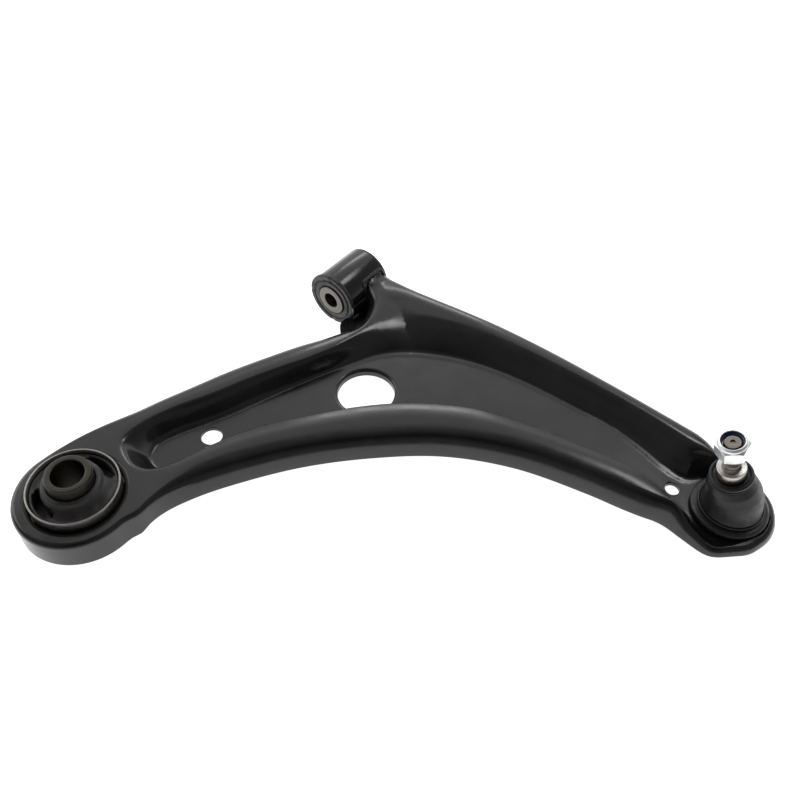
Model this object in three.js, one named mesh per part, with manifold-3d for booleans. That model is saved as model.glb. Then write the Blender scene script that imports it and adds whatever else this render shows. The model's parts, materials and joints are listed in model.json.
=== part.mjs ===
// Pressed-steel lower control arm: sheet-steel arm, two rubber bushes and a ball joint.
// Millimetres, +Z up. The arm is modelled with the rear bush axis at x = 0, y = 0 and the
// front bush axis along +Y through x = 0, so the arm swings about a line along +Y.
// The finished group is then moved so that the origin is the bottom centre of its box.
import * as THREE from 'three';
import Module from 'manifold-3d';
import { mergeVertices } from 'three/addons/utils/BufferGeometryUtils.js';

const wasm = await Module();
wasm.setup();

// ---------- driving dimensions ----------
const GAP = 0.3; // between pieces that touch
const SEAT = 1.6; // wall of the ball's seat
const CAP = 2.4; // end cap under the ball
const RING_DROP = 1.8; // of the retaining ring below the sheet
const SHEET = 3; // steel sheet of the arm
const CREST = 32.6; // top of the beams above the floor
const WEB = 16; // top of the sunken web
const BEAM_EDGE = 14; // lower edge of the beam walls
const BEAM_ROUND = 10; // radius where the top turns into the outer wall
const TIP_ROUND = 2; // the same where the sheet ends against the bush tube
const POINT_SPACING = 7; // along the edges of the sheet
const GRID_SPACING = 12; // inside the sheet
const ROUND_SIDES = 36; // sides of a round piece
const SMALL_SIDES = 24; // sides of a small round piece

const rearEye = { x: 0.7, y: -0.6, radius: 41, round: 3.4, edge: 11.3, collarRound: 3.5 };
const rearBush = { radius: 30, wall: 2, low: 10, high: 39.3, sleeve: 15.2, bore: 10.6, sleeveHigh: 52.2 };
const rearPockets = { from: [61, 226], wide: 60, floor: 26, roof: 23 }; // hollows in the rubber
const frontTube = { radius: 21.2, wall: 3.4, near: 251.6, far: 292.2, height: 22.2 };
const frontBush = { outer: 17.4, wall: 1.2, body: 10, face: 12, bore: 6.4 };
const nearLip = { radius: 22.2, depth: 2.6 };
const farLip = { radius: 20.8, depth: 1.8 };
const frontSleeve = { near: 247.6, far: 296.2, faceDepth: 3 };
const ball = { x: 332.8, y: 267.5, z: 17, radius: 12.5 };
const ballEnd = { x: 331.9, y: 266.6, radius: 32.75, round: 2.4, crest: 15, web: 12, edge: 7.5 };
const housing = { radius: 19.6, flange: 23.9, flangeHigh: 17, neck: 16.4, high: 24, mouth: 11.3 };
const lean = { angle: 14.7, x: -0.803, y: -0.596 }; // of the stud, and which way
const boot = { base: 20.6, lip: 13.8, high: 35.6, wall: 1.8 }; // high is above the ball's centre
const stud = { neck: 6, collar: 9.1, collarHigh: 41, threadLow: 47, thread: 5.85, tip: 67.6 };
const nut = { flats: 19, low: 57.4, seatHigh: 7.8, hexHigh: 9.4, collarHigh: 12, collar: 9.2, bore: 6.15 };
const gusset = { low: 10.6, high: 13.6 }; // plate under the sheet, beside the bush tube

const bigHole = { x: 80.3, y: 194.8, radius: 20.9 };
const leftHole = { x: 22.9, y: 94.6, radius: 7.5 };
const rightHole = { x: 296.4, y: 258.4, radius: 4.9 };

// Edge of the sheet from the rear eye along the near side to the ball joint's end
const nearEdge = [
  [44.9, 14], [44.2, 23], [45.7, 33.7], [52.2, 51.7], [63, 72.7], [89.5, 113.4], [122.9, 150.7],
  [160.4, 182.5], [204.8, 204.8], [254, 217], [279, 221], [295.2, 224.5], [311, 229.8], [322, 228.6],
  [330.5, 227.6], [336, 227.4], [341, 229.1], [345.6, 232.6], [349.7, 236.7], [353.6, 240.2],
  [357.4, 243.9], [360.3, 248.1],
];
// Edge from the ball joint's end along the front side to the front eye
const farEdge = [
  [309, 296.4], [300.5, 299.4], [291.5, 302.4], [280, 303.3], [250, 304.9], [222, 306], [175, 306.9],
  [129, 305.6], [97, 302.7], [65, 298.5], [43, 295.8], [26, 294.8], [6, 294.4],
];
// Edge round the front of the bush tube and back down to the rear eye
const innerEdge = [
  [6, 265.5], [14, 264.6], [22.5, 262], [29, 257.5], [34, 250], [36.6, 241], [36.8, 232],
  [32.4, 222], [26, 208], [17.4, 192.3], [5.1, 165.4], [-5.9, 138.8], [-15, 112.3], [-23.9, 86.2],
  [-30.4, 61], [-34, 42.5], [-37.3, 25], [-39.3, 12],
];
// Inner edge of the beams, where the top turns down into the recess
const recessTop = [
  [-9, 46], [1, 40], [13, 38.5], [23.5, 43.5], [29, 54], [36, 78], [51, 111], [71, 141], [89, 165],
  [107, 184.5], [124, 199], [157, 219.5], [200, 232], [249, 241], [271, 243.6], [293, 243.6],
  [311, 237.5], [319.5, 233], [328, 231.8], [336, 232], [341, 234.5], [346, 239.4], [351.3, 245.6],
  [356.5, 253], [359.9, 262], [360.5, 271], [358, 279.5], [352.5, 287.3], [344, 293], [333, 295.3],
  [318, 292.5], [308, 289.5], [296, 288.5], [280, 290], [250, 292], [200, 293],
  [150, 291.5], [110, 288.5], [75, 284], [50, 279], [42.5, 272], [43.6, 262], [46, 250],
  [47, 232], [44.5, 206], [37, 184], [26, 161], [18, 143], [7.5, 115], [-4, 90], [-9.5, 66],
];
// Plate that closes the corner between the sheet and the bush tube from below
const gussetEdge = [
  [21.8, 233], [30, 226], [36, 226], [40, 236], [38, 250], [30, 262], [21.4, 264], [21.4, 248.2],
  [15.5, 248.2], [16, 238.5],
];
// Foot of the recess walls, the boundary of the flat web
const recessFoot = [
  [0, 61], [6.5, 53], [16.5, 50.5], [24, 58], [31.5, 80], [47, 113.5], [67, 144], [85, 168.5],
  [103, 188], [121, 203], [155, 223.5], [199, 236], [248, 245.5], [270, 248.5], [292, 248.5],
  [309, 246], [320, 240], [332, 236.5], [340, 238.3], [346, 244], [351, 250.6], [355.3, 258],
  [357.8, 267.5], [355.5, 278.1], [348.9, 286.7], [339.3, 291.6], [328.5, 292.1], [318.5, 288],
  [307.5, 280.5], [298, 272.5], [284, 270.5],
  [266, 275], [240, 279.5], [206, 278.5], [173, 277], [149, 274], [124, 268], [102, 259],
  [82, 247], [65, 231], [49, 204], [38, 178], [31, 159], [24, 138], [17, 118], [9.5, 100],
  [2, 83], [-2, 70],
];

// ---------- plane geometry ----------
const degrees = THREE.MathUtils.degToRad;
const smooth = THREE.MathUtils.smoothstep;

function circle(cx, cy, radius, from, to, count) {
  return Array.from({ length: count }, (_, i) => {
    const angle = degrees(from + ((to - from) * i) / (count - 1));
    return [cx + radius * Math.cos(angle), cy + radius * Math.sin(angle)];
  });
}

function splinePoints(points, closed, spacing) {
  const knots = points.map(([x, y]) => new THREE.Vector3(x, y, 0));
  const curve = new THREE.CatmullRomCurve3(knots, closed, 'centripetal');
  const count = Math.round(curve.getLength() / spacing);
  const spaced = curve.getSpacedPoints(count).map((p) => [p.x, p.y]);
  return closed ? spaced.slice(0, -1) : spaced;
}

function evenly(points, spacing) {
  const path = new THREE.Path(points.map(([x, y]) => new THREE.Vector2(x, y)));
  path.closePath();
  const count = Math.round(path.getLength() / spacing);
  return path.getSpacedPoints(count).slice(0, -1).map((p) => [p.x, p.y]);
}

function inward(points, distanceAt) {
  return points.map(([x, y], i) => {
    const [ax, ay] = points[(i + points.length - 1) % points.length];
    const [bx, by] = points[(i + 1) % points.length];
    const length = Math.hypot(bx - ax, by - ay);
    const d = distanceAt(x, y);
    return [x - (d * (by - ay)) / length, y + (d * (bx - ax)) / length];
  });
}

function inside(x, y, polygon) {
  let result = false;
  polygon.forEach(([ax, ay], i) => {
    const [bx, by] = polygon[(i + 1) % polygon.length];
    if (ay > y !== by > y && x < ax + ((bx - ax) * (y - ay)) / (by - ay)) result = !result;
  });
  return result;
}

function distanceTo(x, y, polygon) {
  let best = Infinity;
  polygon.forEach(([ax, ay], i) => {
    const [bx, by] = polygon[(i + 1) % polygon.length];
    const along = ((x - ax) * (bx - ax) + (y - ay) * (by - ay)) / ((bx - ax) ** 2 + (by - ay) ** 2);
    const t = Math.min(1, Math.max(0, along));
    best = Math.min(best, Math.hypot(ax + t * (bx - ax) - x, ay + t * (by - ay) - y));
  });
  return best;
}

// Bowyer-Watson Delaunay triangulation, returned as counter-clockwise index triples
function delaunay(points) {
  const far = 1e5;
  const all = [...points, [-far, -far], [far, -far], [0, far]];
  const n = points.length;
  const make = (a, b, c) => {
    const [ax, ay] = all[a];
    const [bx, by] = [all[b][0] - ax, all[b][1] - ay];
    const [cx, cy] = [all[c][0] - ax, all[c][1] - ay];
    const d = 2 * (bx * cy - by * cx);
    const ux = (cy * (bx * bx + by * by) - by * (cx * cx + cy * cy)) / d;
    const uy = (bx * (cx * cx + cy * cy) - cx * (bx * bx + by * by)) / d;
    return { corners: [a, b, c], x: ax + ux, y: ay + uy, r2: ux * ux + uy * uy };
  };
  let triangles = [make(n, n + 1, n + 2)];
  points.forEach(([x, y], p) => {
    const edges = new Map();
    const kept = [];
    for (const triangle of triangles) {
      if ((x - triangle.x) ** 2 + (y - triangle.y) ** 2 >= triangle.r2) {
        kept.push(triangle);
        continue;
      }
      const [a, b, c] = triangle.corners;
      for (const [from, to] of [[a, b], [b, c], [c, a]]) {
        if (!edges.delete(`${to},${from}`)) edges.set(`${from},${to}`, [from, to]);
      }
    }
    for (const [from, to] of edges.values()) kept.push(make(from, to, p));
    triangles = kept;
  });
  return triangles.map((t) => t.corners).filter((corners) => corners.every((c) => c < n));
}

// ---------- solids ----------
function toSolid(geometry) {
  const bare = geometry.clone();
  bare.deleteAttribute('normal');
  bare.deleteAttribute('uv');
  const merged = mergeVertices(bare.index ? bare.toNonIndexed() : bare, 1e-4);
  const vertProperties = new Float32Array(merged.attributes.position.array);
  const triVerts = new Uint32Array(merged.index.array);
  return new wasm.Manifold(new wasm.Mesh({ numProp: 3, vertProperties, triVerts }));
}

function toGeometry(solid) {
  const mesh = solid.getMesh();
  const geometry = new THREE.BufferGeometry();
  geometry.setAttribute('position', new THREE.BufferAttribute(mesh.vertProperties, 3));
  geometry.setIndex(new THREE.BufferAttribute(mesh.triVerts, 1));
  geometry.computeVertexNormals();
  return geometry;
}

// A ring or disc turned about Z: profile points are [radius, height], counter-clockwise
// when radius points right and height points up
function turned(profile, sides = ROUND_SIDES) {
  const onAxis = profile[0][0] === 0 && profile.at(-1)[0] === 0;
  const closed = onAxis ? profile : [...profile, profile[0]];
  const points = closed.map(([r, z]) => new THREE.Vector2(r, z));
  return new THREE.LatheGeometry(points, sides).rotateX(Math.PI / 2);
}

function prism(outline, low, high) {
  const shape = new THREE.Shape(outline.map(([x, y]) => new THREE.Vector2(x, y)));
  const depth = high - low;
  return new THREE.ExtrudeGeometry(shape, { depth, bevelEnabled: false }).translate(0, 0, low);
}

const alongY = (geometry) => geometry.rotateX(-Math.PI / 2).translate(0, 0, frontTube.height);

// ---------- arm pressing ----------
const fromRear = (x, y) => Math.hypot(x, y);
const crestAt = (x) => CREST - (CREST - ballEnd.crest) * smooth(x, 296, 342);
const webAt = (x) => WEB - (WEB - ballEnd.web) * smooth(x, 282, 303);

function roundAt(x, y) {
  const eye = 1 - smooth(fromRear(x, y), rearEye.radius + 3, 80);
  const end = smooth(x, 285, 332);
  const tip = y > 200 ? 1 - smooth(x, 6, 21) : 0;
  const round = BEAM_ROUND - (BEAM_ROUND - rearEye.round) * eye - (BEAM_ROUND - ballEnd.round) * end;
  return round - (round - TIP_ROUND) * tip;
}

function edgeAt(x, y) {
  const eye = 1 - smooth(fromRear(x, y), rearEye.radius + 4, rearEye.radius + 9);
  const end = smooth(x, 296, 316);
  return BEAM_EDGE - (BEAM_EDGE - rearEye.edge) * eye - (BEAM_EDGE - ballEnd.edge) * end;
}

const outline = evenly([
  ...circle(rearEye.x, rearEye.y, rearEye.radius, 182, 368, 40),
  ...splinePoints(nearEdge, false, POINT_SPACING / 2),
  ...circle(ballEnd.x, ballEnd.y, ballEnd.radius, -26, 112, 30),
  ...splinePoints(farEdge, false, POINT_SPACING / 2),
  ...splinePoints(innerEdge, false, POINT_SPACING / 2),
], POINT_SPACING);
const topCurve = splinePoints(recessTop, true, POINT_SPACING);
const footCurve = splinePoints(recessFoot, true, POINT_SPACING - 1);

function heightAt(x, y) {
  if (!inside(x, y, topCurve)) return crestAt(x);
  if (inside(x, y, footCurve)) return webAt(x);
  const toTop = distanceTo(x, y, topCurve);
  const toFoot = distanceTo(x, y, footCurve);
  return crestAt(x) - (crestAt(x) - webAt(x)) * (toTop / (toTop + toFoot)) ** 1.4;
}

function undersideAt(x, y) {
  const step = 1;
  const slopeX = (heightAt(x + step, y) - heightAt(x - step, y)) / (2 * step);
  const slopeY = (heightAt(x, y + step) - heightAt(x, y - step)) / (2 * step);
  return heightAt(x, y) - SHEET * Math.min(2, Math.hypot(1, slopeX, slopeY));
}

// Cross-section of the rolled outer edge, from the top of the sheet round to its underside
function edgeSection(x, y) {
  const round = roundAt(x, y);
  const crest = crestAt(x);
  const edge = edgeAt(x, y);
  const turns = [60, 30, 0].map(degrees);
  const outer = turns.map((a) => [round - round * Math.cos(a), crest - round + round * Math.sin(a)]);
  const tight = Math.max(round - SHEET, 0.8);
  const innerTop = crest - SHEET - tight;
  const inner = turns.map((a) => [SHEET + tight - tight * Math.cos(a), innerTop + tight * Math.sin(a)]);
  return [...outer, [0, edge], [SHEET, edge], ...inner.reverse()];
}

// Cross-sections of the holes: [radius, height] from the top of the sheet to its underside
function plainHole(hole) {
  return { ...hole, section: [[hole.radius, webAt(hole.x)], [hole.radius, webAt(hole.x) - SHEET]] };
}

function flangedHole(hole, top, round, bottom) {
  const rim = hole.radius + round + 0.4;
  const section = [
    [rim, top], [hole.radius + 0.3 * round, top - 0.3 * round], [hole.radius, top - round],
    [hole.radius, bottom], [hole.radius + SHEET, bottom],
    [hole.radius + SHEET, top - SHEET - 1.5], [Math.max(rim, hole.radius + SHEET + 0.3), top - SHEET],
  ];
  section[0][0] = section.at(-1)[0];
  return { ...hole, section };
}

function armPressing() {
  const eyeHole = { x: 0, y: 0, radius: rearBush.radius + GAP };
  const holes = [
    flangedHole(eyeHole, CREST, rearEye.collarRound, rearEye.edge + 1),
    flangedHole(bigHole, WEB, 2, WEB - 6),
    plainHole(leftHole),
    plainHole(rightHole),
    plainHole({ x: ball.x, y: ball.y, radius: housing.radius + GAP }),
  ];
  const topLoop = inward(outline, roundAt);
  const holeLoops = holes.map(({ x, y, section }) => {
    const sides = Math.max(12, Math.ceil((2 * Math.PI * section[0][0]) / (0.9 * POINT_SPACING)));
    return circle(x, y, section[0][0], 360, 0, sides + 1).slice(0, -1);
  });
  const loops = [topLoop, ...holeLoops];

  // A point is kept when it is clear of every edge's circle, so that the edges survive
  const clear = (x, y) => loops.every((loop) => loop.every(([ax, ay], i) => {
    const [bx, by] = loop[(i + 1) % loop.length];
    return (x - ax) * (x - bx) + (y - ay) * (y - by) > 0.5;
  }));
  const inSheet = (x, y) => inside(x, y, topLoop) && !holeLoops.some((loop) => inside(x, y, loop));
  const loose = [...topCurve, ...footCurve].filter(([x, y]) => inSheet(x, y) && clear(x, y));
  const nearCurves = GRID_SPACING / 2;
  for (let row = 0; row < 34; row += 1) {
    const y = -40 + row * GRID_SPACING * 0.866;
    for (let column = 0; column < 35; column += 1) {
      const x = -45 + (column + (row % 2) / 2) * GRID_SPACING;
      const shifted = x + 0.2 * Math.sin(7 * row + 3 * column);
      if (!inSheet(shifted, y) || !clear(shifted, y)) continue;
      const gap = Math.min(distanceTo(shifted, y, topCurve), distanceTo(shifted, y, footCurve));
      if (gap > nearCurves) loose.push([shifted, y]);
    }
  }

  const flat = [...loops.flat(), ...loose];
  const sheet = delaunay(flat).filter(([a, b, c]) => {
    const x = (flat[a][0] + flat[b][0] + flat[c][0]) / 3;
    const y = (flat[a][1] + flat[b][1] + flat[c][1]) / 3;
    return inSheet(x, y);
  });

  // Upper points, then under points, then the rows of the rolled edges
  const points = [];
  const looped = loops.flat().length;
  flat.forEach(([x, y]) => points.push([x, y, heightAt(x, y)]));
  flat.forEach(([x, y], i) => points.push([x, y, i < looped ? heightAt(x, y) - SHEET : undersideAt(x, y)]));
  const faces = [];
  sheet.forEach(([a, b, c]) => {
    faces.push([a, b, c]);
    faces.push([a + flat.length, c + flat.length, b + flat.length]);
  });
  const band = (rows) => {
    for (let r = 1; r < rows.length; r += 1) {
      rows[r].forEach((point, i) => {
        const j = (i + 1) % rows[r].length;
        faces.push([rows[r - 1][i], point, rows[r][j]], [rows[r - 1][i], rows[r][j], rows[r - 1][j]]);
      });
    }
  };
  const addRow = (row) => row.map((point) => points.push(point) - 1);
  let start = 0;
  loops.forEach((loop, which) => {
    const upper = loop.map((_, i) => start + i);
    const under = upper.map((i) => i + flat.length);
    start += loop.length;
    let rows = [];
    if (which === 0) {
      const sections = outline.map(([x, y]) => edgeSection(x, y));
      rows = sections[0].map((_, k) => {
        const moved = inward(outline, (x, y) => edgeSection(x, y)[k][0]);
        return addRow(moved.map(([x, y], i) => [x, y, sections[i][k][1]]));
      });
    } else {
      const { x, y, section } = holes[which - 1];
      rows = section.slice(1, -1).map(([radius, z]) => {
        const ring = circle(x, y, radius, 360, 0, loop.length + 1).slice(0, -1);
        return addRow(ring.map(([px, py]) => [px, py, z]));
      });
    }
    band([upper, ...rows, under]);
  });

  const geometry = new THREE.BufferGeometry();
  geometry.setAttribute('position', new THREE.Float32BufferAttribute(points.flat(), 3));
  geometry.setIndex(faces.flat());
  const room = frontTube.radius + GAP;
  const tubeSpace = alongY(turned([[0, 200], [room, 200], [room, 330], [0, 330]], 64));
  return toGeometry(toSolid(geometry).subtract(toSolid(tubeSpace)));
}

// ---------- front bush, built along Z and then laid along Y ----------
function tubeBetween(inner, outer, low, high, sides) {
  return turned([[inner, low], [outer, low], [outer, high], [inner, high]], sides);
}

function frontRubber() {
  const inner = frontBush.body + GAP;
  const outer = frontBush.outer - frontBush.wall - GAP;
  const { near, far } = frontTube;
  const nearFace = near - nearLip.depth - GAP;
  const farFace = far + farLip.depth + GAP;
  const gapToSleeve = frontSleeve.faceDepth + GAP;
  return alongY(turned([
    [inner, frontSleeve.near + gapToSleeve], [frontBush.face + GAP, frontSleeve.near + gapToSleeve],
    [frontBush.face + GAP + 1, nearFace], [nearLip.radius - 1, nearFace],
    [nearLip.radius, nearFace + 1.3], [nearLip.radius, near - GAP], [outer, near - GAP],
    [outer, far + GAP], [farLip.radius, far + GAP], [farLip.radius, farFace - 0.8],
    [farLip.radius - 0.8, farFace], [frontBush.face + GAP + 1, farFace],
    [frontBush.face + GAP, frontSleeve.far - gapToSleeve], [inner, frontSleeve.far - gapToSleeve],
  ]));
}

function frontInnerSleeve() {
  const { body, face, bore } = frontBush;
  const { near, far, faceDepth } = frontSleeve;
  return alongY(turned([
    [bore, near], [face, near], [face, near + faceDepth], [body, near + faceDepth],
    [body, far - faceDepth], [face, far - faceDepth], [face, far], [bore, far],
  ]));
}

// ---------- rear bush, upright ----------
function rearOuterSleeve() {
  const { radius, wall, low, high } = rearBush;
  return turned([
    [radius - wall, low], [radius, low], [radius, high - 0.7], [radius - 0.7, high],
    [radius - wall + 0.5, high], [radius - wall, high - 0.6],
  ]);
}

function rearRubber() {
  const inner = rearBush.sleeve + GAP;
  const outer = rearBush.radius - rearBush.wall - GAP;
  const { low, high } = rearBush;
  const body = toSolid(turned([
    [inner, low - 5], [inner + 3, low - 5], [inner + 5, low + 1], [outer, low + 4],
    [outer, high - 4], [inner + 5, high - 1], [inner + 3, high + 5], [inner, high + 5],
  ]));
  // Two hollows in the top and two under them, with a web of rubber left between
  const hollow = (from, bottom, top) => {
    const wide = circle(0, 0, outer - 1.6, from, from + rearPockets.wide, 9);
    const narrow = circle(0, 0, inner + 4.4, from + rearPockets.wide, from, 9);
    return toSolid(prism([...wide, ...narrow], bottom, top));
  };
  const hollows = rearPockets.from.flatMap((from) => [
    hollow(from, rearPockets.floor, high + 10), hollow(from, low - 10, rearPockets.roof),
  ]);
  return toGeometry(hollows.reduce((rest, pocket) => rest.subtract(pocket), body));
}

function rearInnerSleeve() {
  const { sleeve, bore, sleeveHigh } = rearBush;
  return turned([
    [bore, 0], [sleeve - 0.8, 0], [sleeve, 0.8], [sleeve, sleeveHigh - 0.8],
    [sleeve - 0.8, sleeveHigh], [bore + 0.8, sleeveHigh], [bore, sleeveHigh - 0.8],
  ]);
}

// ---------- ball joint, heights measured from the ball's centre ----------
const floor = -ball.z;

function spherePoints(radius, from, to, steps) {
  return circle(0, 0, radius, from, to, steps + 1);
}

function ballHousing() {
  const cavity = ball.radius + SEAT + 2 * GAP;
  const flangeLow = ballEnd.web - ball.z + GAP;
  const flangeHigh = housing.flangeHigh - ball.z;
  const high = housing.high - ball.z;
  const mouthAngle = THREE.MathUtils.radToDeg(Math.asin((high - 1.2) / cavity));
  return turned([
    [cavity, floor + CAP + GAP], [cavity + 1.6, floor + 0.6], [housing.radius - 1, floor + 0.6],
    [housing.radius, floor + 1.6], [housing.radius, flangeLow], [housing.flange - 0.8, flangeLow],
    [housing.flange, flangeLow + 0.8], [housing.flange, flangeHigh - 0.8],
    [housing.flange - 0.8, flangeHigh], [housing.neck + 1.2, flangeHigh],
    [housing.neck, flangeHigh + 1.6], [housing.neck, high - 0.8], [housing.neck - 0.8, high],
    [housing.mouth + 1, high], [housing.mouth, high - 0.8],
    ...spherePoints(cavity, mouthAngle, 0, 4),
  ]);
}

function endCap() {
  const radius = ball.radius + SEAT + GAP;
  return turned([
    [0, floor], [radius - 2.2, floor], [radius, floor + 1.2], [radius, floor + CAP - 0.4],
    [0, floor + CAP - 0.4],
  ]);
}

function ballSeat() {
  const inner = ball.radius + GAP;
  const outer = ball.radius + SEAT;
  const low = floor + CAP;
  const top = THREE.MathUtils.radToDeg(Math.asin(5.2 / outer));
  const inside = spherePoints(inner, top, -66, 6);
  return turned([...inside, [inside.at(-1)[0], low], [outer, low], ...spherePoints(outer, 0, top, 3)]);
}

function retainingRing() {
  const high = ballEnd.web - SHEET - RING_DROP - ball.z;
  const inner = housing.radius + GAP;
  return tubeBetween(inner, inner + 2.2, high - 1.6, high);
}

function ballStud() {
  const waist = THREE.MathUtils.radToDeg(Math.acos(stud.neck / ball.radius));
  return turned([
    ...spherePoints(ball.radius, -90, waist, 11).map(([r, z], i) => [i === 0 ? 0 : r, z]),
    [stud.neck, 15], [7.4, 19], [8.6, 26], [stud.collar, stud.collarHigh - 4],
    [stud.collar, stud.collarHigh - 1], [8.3, stud.collarHigh], [6.9, stud.threadLow - 2],
    [stud.thread, stud.threadLow], [stud.thread, stud.tip - 1], [stud.thread - 1, stud.tip],
    [1.8, stud.tip], [0, stud.tip - 1],
  ], SMALL_SIDES);
}

// The boot is upright at its base and follows the stud at its lip
function rubberBoot() {
  const base = housing.flangeHigh - ball.z + GAP;
  const { wall, high, lip } = boot;
  const grip = stud.collar + GAP;
  const outer = [
    [boot.base - 1, base], [boot.base, base + 1.2], [boot.base, base + 2.4], [boot.base - 1, base + 3.6],
    [boot.base - 0.6, base + 6], [19, 12], [17.8, 19], [15.6, 25.5], [13, 30], [12.2, 31.6],
    [13.2, 32.6], [lip, 33.8], [lip, high - 0.8], [lip - 0.8, high],
  ];
  const inner = [
    [grip, high], [grip, 31.2], [12.6 - wall, 29.4], [15.2 - wall, 25], [17.6 - wall, 18.6],
    [18.8 - wall, 12], [housing.neck + GAP, base + 5], [housing.neck + 1.2 + GAP, base],
  ];
  const geometry = turned([...outer, ...inner]);
  const upright = new THREE.Vector3();
  const leaned = new THREE.Vector3();
  const position = geometry.attributes.position;
  for (let i = 0; i < position.count; i += 1) {
    upright.fromBufferAttribute(position, i);
    leaned.copy(upright).applyQuaternion(studLean);
    upright.lerp(leaned, smooth(upright.z, base + 3, high - 5));
    position.setXYZ(i, upright.x, upright.y, upright.z);
  }
  return geometry;
}

function ringAround(radius, height, thickness) {
  const section = circle(radius + thickness / 2 + GAP, height, thickness / 2, 0, 360, 7).slice(0, -1);
  return turned(section, SMALL_SIDES);
}

// ---------- lock nut, heights measured from the ball's centre ----------
function hexNut() {
  const corner = nut.flats / Math.sqrt(3);
  const { low, seatHigh, hexHigh, collarHigh, collar, bore } = nut;
  const hex = toSolid(prism(circle(0, 0, corner, 0, 300, 6), low, low + hexHigh));
  const chamfer = toSolid(turned([
    [0, low - 1], [corner - 1.6, low - 1], [corner + 0.4, low + 1], [corner + 0.4, low + hexHigh - 1],
    [corner - 1.8, low + hexHigh + 1], [0, low + hexHigh + 1],
  ]));
  const dome = toSolid(turned([
    [0, low + 4], [collar, low + 4], [collar, low + collarHigh - 1.8],
    [collar - 0.9, low + collarHigh - 0.5], [collar - 2, low + collarHigh], [0, low + collarHigh],
  ]));
  const bored = toSolid(turned([
    [0, low - 1], [bore, low - 1], [bore, low + seatHigh], [nut.collar - 1.1, low + seatHigh],
    [nut.collar - 1.1, low + collarHigh - 1.6], [nut.collar - 1.9, low + collarHigh - 0.8],
    [nut.collar - 1.9, low + collarHigh + 1], [0, low + collarHigh + 1],
  ]));
  return toGeometry(hex.intersect(chamfer).add(dome).subtract(bored));
}

function nylonInsert() {
  const outer = nut.collar - 1.1 - GAP;
  const low = nut.low + nut.seatHigh + GAP;
  const high = nut.low + nut.collarHigh - 1.7 - GAP;
  return turned([[nut.bore, low], [outer, low], [outer, high], [nut.bore, high]], SMALL_SIDES);
}

// ---------- materials ----------
function material(color, metalness, roughness) {
  return new THREE.MeshStandardMaterial({ color, metalness, roughness });
}

const blackPaint = material(0x17181a, 0.1, 0.3);
const rubber = material(0x232326, 0, 0.75);
const darkRubber = material(0x1b1c1e, 0, 0.6);
const bareSteel = material(0xb4b2aa, 1, 0.4);
const zinc = material(0xd5d8d6, 1, 0.28);
const blackSteel = material(0x2a2b2c, 0.7, 0.45);
const plasticSeat = material(0xe2dfd2, 0, 0.5);
const blueNylon = material(0x1e2c4a, 0, 0.45);

function piece(name, geometry, finish) {
  const mesh = new THREE.Mesh(geometry, finish.clone());
  mesh.name = name;
  return mesh;
}

// ---------- assembly ----------
const leanAxis = new THREE.Vector3(-lean.y, lean.x, 0).normalize();
const studLean = new THREE.Quaternion().setFromAxisAngle(leanAxis, degrees(lean.angle));

const onStud = new THREE.Group();
onStud.quaternion.copy(studLean);
onStud.add(piece('ball_stud', ballStud(), zinc));
onStud.add(piece('boot_upper_ring', ringAround(12.6, 31.5, 1), blackSteel));
onStud.add(piece('hex_nut', hexNut(), zinc));
onStud.add(piece('nylon_insert', nylonInsert(), blueNylon));

const ballJoint = new THREE.Group();
ballJoint.position.set(ball.x, ball.y, ball.z);
ballJoint.add(piece('ball_joint_housing', ballHousing(), blackSteel));
ballJoint.add(piece('ball_joint_end_cap', endCap(), blackSteel));
ballJoint.add(piece('ball_seat', ballSeat(), plasticSeat));
ballJoint.add(piece('housing_retaining_ring', retainingRing(), blackSteel));
ballJoint.add(piece('rubber_boot', rubberBoot(), darkRubber));
const bootFoot = housing.flangeHigh - ball.z;
ballJoint.add(piece('boot_lower_ring', ringAround(boot.base, bootFoot + 1.9, 1.4), blackSteel));
ballJoint.add(onStud);

function acrossEye(outer, wall) {
  return alongY(tubeBetween(outer - wall, outer, frontTube.near, frontTube.far));
}

const arm = new THREE.Group();
arm.add(piece('arm_pressing', armPressing(), blackPaint));
arm.add(piece('bush_gusset', prism(gussetEdge, gusset.low, gusset.high), blackPaint));
arm.add(piece('front_bush_tube', acrossEye(frontTube.radius, frontTube.wall), blackPaint));
arm.add(piece('front_outer_sleeve', acrossEye(frontBush.outer, frontBush.wall), bareSteel));
arm.add(piece('front_bush_rubber', frontRubber(), rubber));
arm.add(piece('front_inner_sleeve', frontInnerSleeve(), bareSteel));
arm.add(piece('rear_outer_sleeve', rearOuterSleeve(), bareSteel));
arm.add(piece('rear_bush_rubber', rearRubber(), rubber));
arm.add(piece('rear_inner_sleeve', rearInnerSleeve(), bareSteel));
arm.add(ballJoint);

const box = new THREE.Box3().setFromObject(arm);
const centre = box.getCenter(new THREE.Vector3());
arm.position.set(-centre.x, -centre.y, -box.min.z);

export default arm;
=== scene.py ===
"""Looks of a pressed-steel lower control arm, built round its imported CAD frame."""
import json
import math

import bmesh
import bpy
import numpy as np
from mathutils import Matrix, Quaternion, Vector
from mathutils.geometry import delaunay_2d_cdt


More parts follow.
